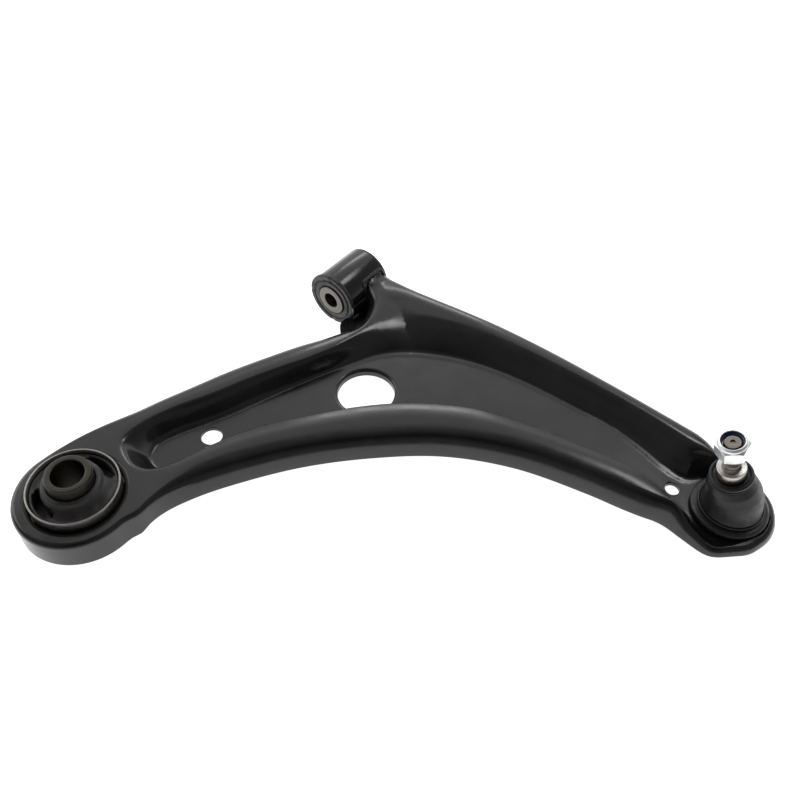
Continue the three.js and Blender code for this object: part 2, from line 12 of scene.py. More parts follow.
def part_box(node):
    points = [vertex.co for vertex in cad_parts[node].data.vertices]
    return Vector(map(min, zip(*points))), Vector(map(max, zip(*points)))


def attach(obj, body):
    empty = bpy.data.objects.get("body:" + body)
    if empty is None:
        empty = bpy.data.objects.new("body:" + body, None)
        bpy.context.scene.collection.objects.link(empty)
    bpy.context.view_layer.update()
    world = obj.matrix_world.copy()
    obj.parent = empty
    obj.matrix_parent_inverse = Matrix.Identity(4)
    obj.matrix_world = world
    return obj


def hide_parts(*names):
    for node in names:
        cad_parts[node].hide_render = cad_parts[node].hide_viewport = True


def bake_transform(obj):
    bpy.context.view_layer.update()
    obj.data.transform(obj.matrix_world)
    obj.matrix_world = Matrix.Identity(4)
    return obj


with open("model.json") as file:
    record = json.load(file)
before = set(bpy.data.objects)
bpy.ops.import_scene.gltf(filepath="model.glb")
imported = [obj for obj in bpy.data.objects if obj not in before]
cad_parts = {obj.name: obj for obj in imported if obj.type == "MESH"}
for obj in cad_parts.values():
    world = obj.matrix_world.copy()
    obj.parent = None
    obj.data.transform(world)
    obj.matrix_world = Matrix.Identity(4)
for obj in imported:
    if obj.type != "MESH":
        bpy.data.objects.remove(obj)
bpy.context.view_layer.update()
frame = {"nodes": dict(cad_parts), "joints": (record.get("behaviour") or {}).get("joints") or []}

MM = 0.001
TURN = 2 * math.pi


def middle(node):
    low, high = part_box(node)
    return (low + high) / 2


joints = {joint["name"]: joint for joint in frame["joints"]}
rear = middle("rear_inner_sleeve")
front = middle("front_inner_sleeve")
ball = Vector(joints["ball_tilt"]["pos_m"])
stud_axis = Vector(joints["stud_turn"]["axis"]).normalized()
tilt_axis = Vector(joints["ball_tilt"]["axis"]).normalized()
lean = Quaternion(tilt_axis, math.acos(stud_axis.z))

UPRIGHT = Matrix.Translation((rear.x, rear.y, 0))
ALONG_Y = Matrix.Translation(front) @ Matrix.Rotation(-math.pi / 2, 4, "X")
AT_BALL = Matrix.Translation(ball)
ON_STUD = Matrix.Translation(ball) @ lean.to_matrix().to_4x4()


# ---------- materials ----------
def wire(tree, node, inputs):
    """Sets the node's inputs, or links them to other nodes' outputs."""
    for socket, value in inputs.items():
        if isinstance(value, bpy.types.NodeSocket):
            tree.links.new(value, node.inputs[socket])
        else:
            node.inputs[socket].default_value = value


def add_node(tree, kind, inputs=None, **settings):
    node = tree.nodes.new("ShaderNode" + kind)
    for setting, value in settings.items():
        setattr(node, setting, value)
    wire(tree, node, inputs or {})
    return node


class Finish:
    """A procedural material: a Principled shader with layers of noise."""

    def __init__(self, name, slot, base, roughness, metallic=0.0, specular=0.5):
        self.material = bpy.data.materials.new(name)
        self.material.use_nodes = True
        self.tree = self.material.node_tree
        self.shader = self.tree.nodes["Principled BSDF"]
        self.coords = add_node(self.tree, "TexCoord").outputs
        self.slot = slot
        self.base = (*base, 1)
        self.height = None
        wire(self.tree, self.shader, {
            "Base Color": self.base, "Roughness": roughness, "Metallic": metallic,
            "Specular IOR Level": specular,
        })

    def noise(self, scale, detail, rough=0.5, stretch=(1, 1, 1), source="Object"):
        place = add_node(self.tree, "Mapping", {"Scale": stretch, "Vector": self.coords[source]})
        return add_node(self.tree, "TexNoise", {
            "Vector": place.outputs["Vector"], "Scale": scale, "Detail": detail,
            "Roughness": rough,
        }).outputs["Fac"]

    def ramp(self, value, low, high, start, end):
        """Goes from start to end as the value, or the noise it describes, goes low to high."""
        if isinstance(value, tuple):
            value = self.noise(*value)
        return add_node(self.tree, "MapRange", {
            "Value": value, "From Min": low, "From Max": high, "To Min": start, "To Max": end,
        }, interpolation_type="SMOOTHSTEP").outputs["Result"]

    def tint(self, value, color, low=0.45, high=0.7, amount=1.0):
        """Where the value is high, the base colour turns towards another one."""
        base = self.shader.inputs["Base Color"]
        mix = add_node(self.tree, "Mix", {
            "A": base.links[0].from_socket if base.is_linked else self.base,
            "B": (*color, 1), "Factor": self.ramp(value, low, high, 0, amount),
        }, data_type="RGBA")
        self.tree.links.new(mix.outputs["Result"], base)

    def dull(self, value, low, high, start, end):
        """As the value goes from low to high, the roughness goes from start to end."""
        wire(self.tree, self.shader, {"Roughness": self.ramp(value, low, high, start, end)})

    def bump(self, value, distance):
        """Adds relief on top of the relief so far."""
        if isinstance(value, tuple):
            value = self.noise(*value)
        inputs = {"Distance": distance, "Height": value}
        if self.height is not None:
            inputs["Normal"] = self.height
        self.height = add_node(self.tree, "Bump", inputs).outputs["Normal"]
        wire(self.tree, self.shader, {"Normal": self.height})


def machined(name, base, rust, roughness):
    """Bare steel with fine lines round it."""
    steel = Finish(name, "bare_steel", base, roughness, metallic=1.0)
    lines = steel.noise(1.0, 4, 0.6, (7, 9000, 1), "UV")
    steel.tint((240, 5, 0.7), rust, 0.5, 0.72, 0.55)
    steel.dull(lines, 0.3, 0.7, roughness - 0.09, roughness + 0.12)
    steel.bump(lines, 0.000035)
    steel.bump((700, 4), 0.000025)
    return steel


paint = Finish("black_e_coat", "black_paint", (0.0085, 0.0085, 0.009), 0.22)
paint.tint((55, 5), (0.013, 0.0127, 0.0127), 0.42, 0.72)
paint.tint((900, 2), (0.02, 0.02, 0.0205), 0.66, 0.8, 0.5)
paint.dull((38, 6, 0.62), 0.35, 0.68, 0.15, 0.23)
paint.bump((26, 2), 0.00011)
paint.bump((750, 3), 0.000008)

rubber = Finish("moulded_rubber", "rubber", (0.026, 0.0255, 0.025), 0.5, specular=0.45)
rubber.tint((120, 6, 0.7), (0.04, 0.039, 0.038), 0.45, 0.75)
rubber.dull((160, 5), 0.35, 0.7, 0.44, 0.66)
rubber.bump((320, 5), 0.00004)
rubber.bump((1700, 3), 0.00002)

boot_rubber = Finish("boot_rubber", "boot_rubber", (0.01, 0.0104, 0.0106), 0.42, specular=0.34)
boot_rubber.tint((90, 6, 0.65), (0.022, 0.0228, 0.0228), 0.48, 0.8)
boot_rubber.dull((140, 5), 0.35, 0.7, 0.36, 0.52)
boot_rubber.bump((60, 3), 0.00008)
boot_rubber.bump((1500, 3), 0.000016)

ring_steel = machined("drawn_steel", (0.26, 0.25, 0.23), (0.14, 0.12, 0.1), 0.32)
sleeve_steel = machined("oiled_steel", (0.05, 0.047, 0.041), (0.034, 0.03, 0.026), 0.38)
face_steel = machined("swaged_steel", (0.16, 0.15, 0.134), (0.11, 0.1, 0.088), 0.4)

zinc = Finish("bright_zinc", "zinc", (0.86, 0.87, 0.86), 0.33, metallic=0.78)
zinc.tint((130, 4), (0.66, 0.7, 0.74))
zinc.tint((210, 4), (0.8, 0.76, 0.66), 0.56, 0.75, 0.6)
zinc.dull((420, 5), 0.3, 0.7, 0.27, 0.42)
zinc.bump((240, 4), 0.00006)
zinc.bump((2200, 3), 0.000012)

# bright up to the stud's shoulder, which is this far along its profile in metres, then duller
SHOULDER_RUN = 0.067
shank_steel = Finish("bright_shank", "zinc", (0.5, 0.485, 0.465), 0.26, metallic=1.0)
shank_steel.tint((160, 5), (0.36, 0.33, 0.29), 0.45, 0.72)
run = add_node(shank_steel.tree, "SeparateXYZ", {"Vector": shank_steel.coords["UV"]})
shank_steel.tint(run.outputs["Y"], (0.2, 0.178, 0.155), SHOULDER_RUN, SHOULDER_RUN + 0.001)
shank_steel.dull((1.0, 4, 0.6, (5, 7000, 1), "UV"), 0.3, 0.7, 0.2, 0.36)
shank_steel.bump((900, 4), 0.00002)

black_steel = Finish("black_phosphate", "black_steel", (0.026, 0.0262, 0.0265), 0.4, metallic=0.3)
black_steel.tint((420, 5), (0.05, 0.049, 0.047), 0.5, 0.75)
black_steel.dull((180, 5), 0.35, 0.7, 0.34, 0.52)
black_steel.bump((900, 4), 0.00003)

acetal = Finish("acetal", "acetal", (0.7, 0.67, 0.57), 0.4)
acetal.tint((300, 4), (0.6, 0.56, 0.46))
acetal.bump((900, 3), 0.00002)

nylon = Finish("blue_nylon", "blue_nylon", (0.008, 0.02, 0.075), 0.36)
nylon.tint((600, 4), (0.012, 0.035, 0.13))
nylon.dull((500, 4), 0.3, 0.7, 0.3, 0.46)
nylon.bump((1500, 3), 0.00002)


# ---------- mesh helpers ----------
def piece(name, points, faces, finish, place=Matrix.Identity(4), sharp=35, uvs=None):
    """A new mesh object; points are in millimetres before place is applied."""
    mesh = bpy.data.meshes.new(name)
    mesh.from_pydata([tuple(c * MM for c in p) for p in points], [], faces)
    mesh.transform(place)
    if uvs is not None:
        layer = mesh.uv_layers.new(name="UVMap")
        layer.data.foreach_set("uv", np.asarray(uvs, np.float32).ravel())
    mesh.materials.append(finish.material)
    mesh.shade_smooth()
    mesh.set_sharp_from_angle(angle=math.radians(sharp))
    obj = bpy.data.objects.new(name, mesh)
    bpy.context.scene.collection.objects.link(obj)
    return obj


def rounded(corners, closed, steps=4):
    """A profile with its corners filleted; each corner is (radius, height, fillet)."""
    result = []
    count = len(corners)
    for i, corner in enumerate(corners):
        point = np.array(corner[:2], float)
        fillet = corner[2] if len(corner) > 2 else 0
        if fillet == 0 or (not closed and i in (0, count - 1)):
            result.append(tuple(point))
            continue
        before = np.array(corners[i - 1][:2], float) - point
        after = np.array(corners[(i + 1) % count][:2], float) - point
        long_before, long_after = np.linalg.norm(before), np.linalg.norm(after)
        before /= long_before
        after /= long_after
        half = math.acos(max(-1, min(1, before @ after))) / 2
        cut = min(fillet / math.tan(half), 0.48 * long_before, 0.48 * long_after)
        for k in range(steps + 1):
            t = k / steps
            bend = (1 - t) ** 2 * (point + before * cut) + 2 * t * (1 - t) * point
            result.append(tuple(bend + t * t * (point + after * cut)))
    return result


def turned(profile, closed, sides, shape=None):
    """Points, faces and UVs of a profile turned about Z. shape(r, z, angle) may move a point."""
    points, rings = [], []
    for r, z in profile:
        if r < 1e-6:
            rings.append([len(points)] * sides)
            points.append((0, 0, z))
            continue
        rings.append(list(range(len(points), len(points) + sides)))
        for j in range(sides):
            angle = TURN * j / sides
            rr, zz = shape(r, z, angle) if shape else (r, z)
            points.append((rr * math.cos(angle), rr * math.sin(angle), zz))
    run = [0.0]
    for (r0, z0), (r1, z1) in zip(profile, profile[1:] + profile[:1]):
        run.append(run[-1] + math.hypot(r1 - r0, z1 - z0) * MM)
    faces, uvs = [], []
    for i in range(len(rings) if closed else len(rings) - 1):
        a, b = rings[i], rings[(i + 1) % len(rings)]
        for j in range(sides):
            k = (j + 1) % sides
            u0, u1 = j / sides, (j + 1) / sides
            corners = [(a[j], u0, run[i])]
            if a[k] != a[j]:
                corners.append((a[k], u1, run[i]))
            if b[k] != b[j]:
                corners.append((b[k], u1, run[i + 1]))
            corners.append((b[j], u0, run[i + 1]))
            faces.append(tuple(corner[0] for corner in corners))
            uvs += [corner[1:] for corner in corners]
    return points, faces, uvs


def turned_piece(name, corners, finish, place, closed=True, sides=96, steps=4, shape=None):
    points, faces, uvs = turned(rounded(corners, closed, steps), closed, sides, shape)
    return piece(name, points, faces, finish, place, uvs=uvs)


def prism(first, second):
    """Points and faces between two equal loops of points."""
    n = len(first)
    faces = [tuple(reversed(range(n))), tuple(range(n, 2 * n))]
    faces += [(i, (i + 1) % n, n + (i + 1) % n, n + i) for i in range(n)]
    return [*first, *second], faces


def settle(obj):
    """Applies the piece's modifiers."""
    bpy.context.view_layer.update()
    graph = bpy.context.evaluated_depsgraph_get()
    mesh = bpy.data.meshes.new_from_object(obj.evaluated_get(graph))
    obj.modifiers.clear()
    obj.data = mesh


def soften_edges(obj):
    """Rounds the piece's sharp edges."""
    bevel = obj.modifiers.new("edge", "BEVEL")
    bevel.width = 0.5 * MM
    bevel.segments = 3
    bevel.limit_method = "ANGLE"
    bevel.angle_limit = math.radians(50)
    settle(obj)


def smooth(x, low, high):
    t = np.clip((np.asarray(x, float) - low) / (high - low), 0, 1)
    return t * t * (3 - 2 * t)


def soft_ring(obj):
    """A bonded rubber ring: bakes its placement into its mesh."""
    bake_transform(obj)


# ---------- arm pressing: millimetres from the foot of the rear bush's axis ----------
SHEET = 3.0  # thickness
CREST = 32.6  # height of the beams, then of the web
WEB = 16.0
END_CREST = 15.0  # the same two at the ball joint
END_WEB = 12.0
EYE_CENTRE, EYE_RADIUS = (0.7, -0.6), 41
END_CENTRE, END_RADIUS = (331.9, 266.6), 32.75
BALL = ((ball.x - rear.x) / MM, (ball.y - rear.y) / MM)
TUBE_HEIGHT = front.z / MM
TUBE_RADIUS = 21.2
CROWN_SLOPE = 0.2  # of the crest, at its outer edge
CROWN_WIDTH = 14.0
INNER_SLOPE = 0.22  # of the crest, at the recess
TIP_START = 27.8  # from this x the crest sweeps up to the bush tube
TIP_REACH = 14.5
TIP_BEND = 20.0
TIP_FADE = (250, 264)
FOOT_RIDGE = (-2.4, 1.5, 0.4)  # along the recess's foot: place, width and height
EDGE_RISE = 0.9  # of the wall's foot above the lowest edge
NEAR_SIDE = (-0.61, 0.79)  # points into the arm from its near wall
WALL_TILT = math.radians(30)  # of the near wall, at its top
UNDER_INSET = 4.1  # least distance of the underside from the outline
STEP = 1.7  # between points along the outline

near_edge = [
    (44.9, 14), (44.2, 23), (45.7, 33.7), (52.2, 51.7), (63, 72.7), (89.5, 113.4),
    (122.9, 150.7), (160.4, 182.5), (204.8, 204.8), (254, 217), (279, 221), (295.2, 224.5),
    (311, 229.8), (322, 228.6), (330.5, 227.6), (336, 227.4), (341, 229.1), (345.6, 232.6),
    (349.7, 236.7), (353.6, 240.2), (357.4, 243.9), (360.3, 248.1),
]
far_edge = [
    (309, 296.4), (300.5, 299.4), (291.5, 302.4), (280, 303.3), (250, 304.9), (222, 306),
    (175, 306.9), (129, 305.6), (97, 302.7), (65, 298.5), (43, 295.8), (26, 294.8), (6, 294.4),
]
inner_edge = [
    (6, 265.5), (14, 264.6), (22.5, 262), (29, 257.5), (34, 250), (36.6, 241), (36.8, 232),
    (32.4, 222), (26, 208), (17.4, 192.3), (5.1, 165.4), (-5.9, 138.8), (-15, 112.3),
    (-23.9, 86.2), (-30.4, 61), (-34, 42.5), (-37.3, 25), (-39.3, 12),
]
recess_top = [
    (-9, 46), (1, 40), (13, 38.5), (23.5, 43.5), (29, 54), (36, 78), (51, 111), (71, 141),
    (89, 165), (107, 184.5), (124, 199), (157, 219.5), (200, 232), (249, 241), (271, 243.6),
    (292, 241.4), (310, 236.6), (319.5, 233), (328, 231.8), (336, 232), (341, 234.5),
    (345.5, 240.2), (350.4, 246.4), (354.8, 253.8), (358.4, 262), (359, 270.8), (356.6, 279),
    (351.2, 286.4), (343.2, 291.8), (333, 294.2), (318, 292.5), (308, 289.5), (296, 288.5),
    (280, 290), (250, 292), (200, 293), (150, 291.5), (110, 288.5), (75, 284), (50, 279),
    (42.5, 272), (43.6, 262), (46, 250), (47, 232), (44.5, 206), (37, 184), (26, 161),
    (18, 143), (7.5, 115), (-4, 90), (-9.5, 66),
]
recess_foot = [
    (0, 61), (6.5, 53), (16.5, 50.5), (24, 58), (31.5, 80), (47, 113.5), (67, 144),
    (85, 168.5), (103, 188), (121, 203), (155, 223.5), (199, 236), (248, 245.5), (270, 248.5),
    (292, 248.5), (309, 246), (320, 240), (332, 236.5), (340, 238.3), (346, 243.8),
    (351.1, 250.4), (355.5, 258), (358, 267.5), (355.7, 278.1), (349, 286.8), (339.3, 291.8),
    (328.5, 292.2), (318.5, 288.1), (307.5, 280.5), (298, 272.5), (284, 270.5), (266, 275),
    (240, 279.5), (206, 278.5), (173, 277), (149, 274), (124, 268), (102, 259), (82, 247),
    (65, 231), (49, 204), (38, 178), (31, 159), (24, 138), (17, 118), (9.5, 100), (2, 83),
    (-2, 70),
]


def arc(centre, radius, start, end, count):
    angles = np.radians(np.linspace(start, end, count))
    return np.c_[centre[0] + radius * np.cos(angles), centre[1] + radius * np.sin(angles)]


def mixed(t, p, q, start, end):
    return (end - t) / (end - start) * p + (t - start) / (end - start) * q


def spline(knots, closed):
    """Centripetal Catmull-Rom curve through the knots, drawn as short straight lines."""
    p = np.array(knots, float)
    if closed:
        p = np.vstack([p[-1], p, p[:2]])
    else:
        p = np.vstack([2 * p[0] - p[1], p, 2 * p[-1] - p[-2]])
    drawn = []
    for a, b, c, d in zip(p, p[1:], p[2:], p[3:]):
        gaps = [math.sqrt(np.linalg.norm(q - o)) for o, q in ((a, b), (b, c), (c, d))]
        t0, t1, t2, t3 = np.cumsum([0, *gaps])
        t = np.linspace(t1, t2, 25)[:-1, None]
        ab, bc, cd = mixed(t, a, b, t0, t1), mixed(t, b, c, t1, t2), mixed(t, c, d, t2, t3)
        drawn.append(mixed(t, mixed(t, ab, bc, t0, t2), mixed(t, bc, cd, t1, t3), t1, t2))
    if not closed:
        drawn.append(p[-2:-1])
    return np.vstack(drawn)


def spaced(points, step):
    """The closed line, with points at equal distances along it."""
    loop = np.vstack([points, points[:1]])
    run = np.r_[0, np.cumsum(np.linalg.norm(np.diff(loop, axis=0), axis=1))]
    count = round(run[-1] / step)
    at = np.linspace(0, run[-1], count + 1)[:-1]
    return np.c_[np.interp(at, run, loop[:, 0]), np.interp(at, run, loop[:, 1])]


def left_normals(points, reach=1):
    """The closed line's normals, on its left."""
    along = np.roll(points, -reach, axis=0) - np.roll(points, reach, axis=0)
    along /= np.linalg.norm(along, axis=1)[:, None]
    return np.c_[-along[:, 1], along[:, 0]]


def eased(points, passes, fixed):
    """Takes small kinks out of a closed line, apart from its fixed points."""
    for _ in range(passes):
        mean = (np.roll(points, 1, axis=0) + 2 * points + np.roll(points, -1, axis=0)) / 4
        points = np.where(fixed[:, None], points, mean)
    return points


class Line:
    """A closed line, for signed distances from it; positive on its left."""

    def __init__(self, points):
        self.points = spaced(points, 0.5)
        self.normals = left_normals(self.points, 2)

    def away(self, q):
        distance = np.empty(len(q))
        normal = np.empty((len(q), 2))
        squares = (self.points**2).sum(1)
        for start in range(0, len(q), 3000):
            part = q[start : start + 3000]
            i = (squares[None] - 2 * part @ self.points.T).argmin(1)
            n = self.normals[i]
            rel = part - self.points[i]
            shift = (rel * np.c_[n[:, 1], -n[:, 0]]).sum(1) / 0.5
            j = (i + np.where(shift > 0, 1, -1)) % len(self.points)
            share = np.clip(np.abs(shift), 0, 0.5)[:, None]
            n = (1 - share) * n + share * self.normals[j]
            n /= np.linalg.norm(n, axis=1)[:, None]
            distance[start : start + 3000] = (rel * n).sum(1)
            normal[start : start + 3000] = n
        return distance, normal


def inside(q, polygon):
    """Which of the points q lie inside the closed polygon."""
    result = np.zeros(len(q), bool)
    for (ax, ay), (bx, by) in zip(polygon, np.roll(polygon, -1, axis=0)):
        if ay == by:
            continue
        crosses = (ay > q[:, 1]) != (by > q[:, 1])
        result ^= crosses & (q[:, 0] < ax + (bx - ax) * (q[:, 1] - ay) / (by - ay))
    return result


raw_outline = spaced(np.vstack([
    arc(EYE_CENTRE, EYE_RADIUS, 182, 368, 120), spline(near_edge, False),
    arc(END_CENTRE, END_RADIUS, -26, 112, 90),
    spline(far_edge, False), spline(inner_edge, False),
]), STEP)
at_tip = (raw_outline[:, 0] < 10) & (raw_outline[:, 1] > 255)
outline = eased(raw_outline, 6, at_tip)
outline_line = Line(outline)
top_line = Line(spline(recess_top, True))
foot_line = Line(spline(recess_foot, True))


def eye_share(x, y):
    """1 round the rear bush, 0 away from it."""
    return 1 - smooth(np.hypot(x, y), 44, 80)


def tip_share(x, y):
    """1 at the front bush's tube, 0 away from it."""
    return np.where(y > 200, 1 - smooth(x, 6, 21), 0)


def crest_at(x):
    """The beams come down towards the ball joint."""
    return CREST - (CREST - END_CREST) * smooth(x, 296, 342)


def web_at(x):
    return WEB - (WEB - END_WEB) * smooth(x, 282, 303)


def round_at(x, y):
    """Radius of the rolled outer edge."""
    size = 10 - 6.6 * eye_share(x, y) - 5.8 * smooth(x, 285, 332)
    return size - (size - 2) * tip_share(x, y)


def edge_at(x, y):
    """Height of the wall's lowest edge."""
    eye = 1 - smooth(np.hypot(x, y), 45, 48.5)
    return 14 - 2.7 * eye - 6.5 * smooth(x, 296, 316)


def crown_at(x, y):
    """Slope of the crest at the outline."""
    flat = (1 - eye_share(x, y)) * (1 - tip_share(x, y)) * (1 - 0.6 * smooth(x, 300, 335))
    return CROWN_SLOPE * flat


def started(u, width):
    """A ramp that starts softly at u = 0, and its slope."""
    inner = np.clip((u + width / 2) / width, 0, 1)
    return np.where(u > width / 2, u, width * inner**2 / 2), inner


def rolled_in(u):
    """How far the crest has rolled towards the recess, which begins at u = 0, and its slope."""
    before, after = 14.0, 6.0
    level = np.clip(u + before, 0, before)
    past = np.clip(u, 0, after)
    roll = level**2 / (2 * before) + past - past**2 / (2 * after)
    return roll, np.where(u < 0, level / before, 1 - past / after)


def upper(q):
    """Height of the sheet's upper face, and its slope, at the points q."""
    x, y = q[:, 0], q[:, 1]
    u, top_normal = top_line.away(q)
    into, foot_normal = foot_line.away(q)
    v = -into
    wide = np.maximum(u + v, 1.2)
    end = smooth(x, 300, 330)
    near_side = smooth(top_normal[:, 1], 0.15, 0.6) * smooth(x, 18, 45)
    neck = np.exp(-((x - 60) ** 2 + (y - 262) ** 2) / 32**2)
    far_side = smooth(-top_normal[:, 1], 0.3, 0.8) * smooth(x, 40, 90)
    top_soft = 6.0 - 3.6 * near_side + 5 * neck + 4 * far_side
    top_soft = top_soft + (1.6 - top_soft) * end
    foot_soft = 5.5 - 2.5 * end
    ramp_top, slope_top = started(u, top_soft)
    ramp_foot, slope_foot = started(-v, foot_soft)
    share = np.clip((ramp_top - ramp_foot) / wide, 0, 1)
    grow = (slope_top[:, None] * top_normal - slope_foot[:, None] * foot_normal) / wide[:, None]
    grow -= (share / wide)[:, None] * (top_normal - foot_normal)
    power = 1 + 0.55 * neck + 0.45 * smooth(top_normal[:, 1], -0.1, -0.5) * (1 - neck) * (1 - end)
    roll, roll_slope = rolled_in(u)
    tilt = INNER_SLOPE * (1 - eye_share(x, y)) * (1 - tip_share(x, y)) * (1 - 0.7 * end)
    crest = crest_at(x) - tilt * roll
    drop = crest - web_at(x)
    faded = share**power
    z = crest - drop * faded
    slope = -(drop * power * np.maximum(share, 1e-6) ** (power - 1))[:, None] * grow
    slope -= (tilt * roll_slope * (1 - faded))[:, None] * top_normal

    e, edge_normal = outline_line.away(q)
    crown = crown_at(x, y)
    left = np.maximum(round_at(x, y) * 0.88 + CROWN_WIDTH - e, 0)
    z = z - crown * left**2 / (2 * CROWN_WIDTH)
    slope = slope + (crown * left / CROWN_WIDTH)[:, None] * edge_normal

    reach = np.clip(TIP_START - x, 0, TIP_REACH)
    depth = np.sqrt(TIP_BEND**2 - reach**2)
    fade = TIP_FADE[1] - TIP_FADE[0]
    t = np.clip((y - TIP_FADE[0]) / fade, 0, 1)
    drawn = t * t * (3 - 2 * t)
    z = z + drawn * (TIP_BEND - depth)
    slope[:, 0] -= drawn * reach / depth
    slope[:, 1] += 6 * t * (1 - t) / fade * (TIP_BEND - depth)

    place, width, height = FOOT_RIDGE
    at_foot = smooth(-foot_normal[:, 1], -0.1, 0.5) * smooth(x, 44, 70)
    t = (v - place) / width
    bell = height * at_foot * (1 - smooth(x, 295, 312)) * np.exp(-(t**2))
    return z + bell, slope + (2 * t / width * bell)[:, None] * foot_normal


def hex_grid(step):
    rows = []
    for row, y in enumerate(np.arange(-45, 312, step * 0.866)):
        x = np.arange(-50, 372, step) + (row % 2) * step / 2
        rows.append(np.c_[x, np.full(len(x), y)])
    return np.vstack(rows)


def thinned(points, apart, taken):
    """The points, in order, that keep their distance from the ones before."""
    cells = {}

    def cell(p):
        return int(p[0] // apart), int(p[1] // apart)

    def free(p):
        cx, cy = cell(p)
        return not any(
            (p[0] - other[0]) ** 2 + (p[1] - other[1]) ** 2 < apart * apart
            for i in (cx - 1, cx, cx + 1) for j in (cy - 1, cy, cy + 1)
            for other in cells.get((i, j), ())
        )

    for p in taken:
        cells.setdefault(cell(p), []).append(p)
    kept = []
    for p in points:
        if free(p):
            kept.append(p)
            cells.setdefault(cell(p), []).append(p)
    return np.array(kept)


def plain_section(radius, top):
    """A hole's rim, and rows of radius, height and tilt down through the sheet."""
    arcs = np.radians([60, 30, 0])
    rows = [(radius + 0.5 - 0.5 * math.cos(a), top - 0.5 + 0.5 * math.sin(a), a) for a in arcs]
    rows.append((radius, top - SHEET, 0))
    return radius + 0.5, rows


def flanged_section(radius, top, bend, bottom):
    """The same, down round a bend into the hole, and back up outside the flange."""
    arcs = np.radians([75, 60, 45, 30, 15, 0])
    rows = [
        (radius + bend * (1 - math.cos(a)), top - bend + bend * math.sin(a), a) for a in arcs
    ]
    outer = radius + SHEET
    rows += [
        (radius, (top - bend + bottom) / 2, 0), (radius, bottom + 0.4, 0),
        (radius + 0.4, bottom, -1.2), (outer - 0.4, bottom, -1.9),
        (outer, bottom + 0.4, math.pi), (outer, top - SHEET - 1.5, math.pi),
    ]
    return max(radius + bend, outer + 0.3), rows


HOLES = [
    ((0, 0), *flanged_section(30.3, CREST, 3.8, 12.3)),
    ((80.3, 194.8), *flanged_section(20.9, WEB, 2.4, 10)),
    ((22.9, 94.6), *plain_section(7.5, WEB)),
    ((296.4, 258.4), *plain_section(4.9, float(web_at(296.4)))),
    (BALL, *plain_section(19.9, END_WEB)),
]


def clear_of_holes(q, scale, margin):
    """Which of the points q lie outside every hole's rim, scaled and widened."""
    clear = np.ones(len(q), bool)
    for centre, rim, _ in HOLES:
        clear &= np.hypot(q[:, 0] - centre[0], q[:, 1] - centre[1]) > rim * scale + margin
    return clear


def loose_points(top_loop, normals, looped):
    """Rows beside the recess's two lines and the outline, and a grid between them."""
    rows = []
    for line, offsets in (
        (top_line, (0, 0.8, -0.8, 1.6, -1.6, 2.6, -2.6)),
        (foot_line, (0, 1, -1, 1.7, -2, 2.4, -3, 3.1, 4)),
    ):
        base = spaced(line.points, 1.9)
        side = left_normals(base)
        for k, offset in enumerate(offsets):
            shifted = base + np.roll(base, -1, axis=0) * (k % 2)
            rows.append(shifted / (1 + k % 2) + side * offset)
    rows += [spaced(top_loop + normals * d, 2.2) for d in (1.6, 3.6, 6)]
    loose = np.vstack([*rows, hex_grid(2.7)])
    margin = 0.9
    e, _ = outline_line.away(loose)
    keep = e > round_at(*loose.T) * 0.92 + margin
    return thinned(loose[keep & clear_of_holes(loose, 1, margin)], 0.72, looped)


def triangulated(flat, loops):
    """Triangles between the points, inside the first loop and outside the holes."""
    edges = []
    begin = 0
    for loop in loops:
        edges += [(begin + i, begin + (i + 1) % len(loop)) for i in range(len(loop))]
        begin += len(loop)
    result = delaunay_2d_cdt([Vector(p) for p in flat], edges, [], 0, 1e-5)
    tris, origins = result[2:4]
    tris = np.array([[origins[i][0] for i in tri] for tri in tris])
    centres = flat[tris].mean(axis=1)
    tris = tris[inside(centres, loops[0]) & clear_of_holes(centres, 0.998, 0)]
    ab = flat[tris[:, 1]] - flat[tris[:, 0]]
    ac = flat[tris[:, 2]] - flat[tris[:, 0]]
    clockwise = ab[:, 0] * ac[:, 1] < ab[:, 1] * ac[:, 0]
    tris[clockwise] = tris[clockwise][:, ::-1]
    return tris


def edge_section(top, size, start_tilt, wall_tilt, wall_inset, edge):
    """Rows of inset, height and tilt down the wall, under its edge and up its inner side."""
    rows = []
    flank = top - size * np.sin(start_tilt)
    for share in (0.86, 0.72, 0.58, 0.44, 0.3, 0.15, 0):
        tilt = wall_tilt + (start_tilt - wall_tilt) * share
        inset = wall_inset + size * (np.cos(wall_tilt) - np.cos(tilt))
        rows.append((inset, flank + size * np.sin(tilt), tilt))
    foot = edge + EDGE_RISE
    wall = flank + size * np.sin(wall_tilt) - foot
    for share in (0.83, 0.66, 0.5, 0.33, 0.16, 0):
        tilt = wall_tilt * share
        inset = wall_inset * (1 - np.cos(tilt)) / (1 - np.cos(wall_tilt))
        rows.append((inset, foot + wall * np.sin(tilt) / np.sin(wall_tilt), tilt))
    rows += [(0.25, edge + 0.28, -0.7), (0.9, edge, -1.4), (SHEET - 0.7, edge, -1.7)]
    rows.append((SHEET, edge + 0.7, math.pi))
    tight = np.maximum(size - SHEET, 0.8)
    for tilt in np.radians([0, 25, 50]):
        height = top - SHEET - tight * (1 - math.sin(tilt))
        rows.append((SHEET + tight * (1 - math.cos(tilt)), height, math.pi + tilt))
    return rows


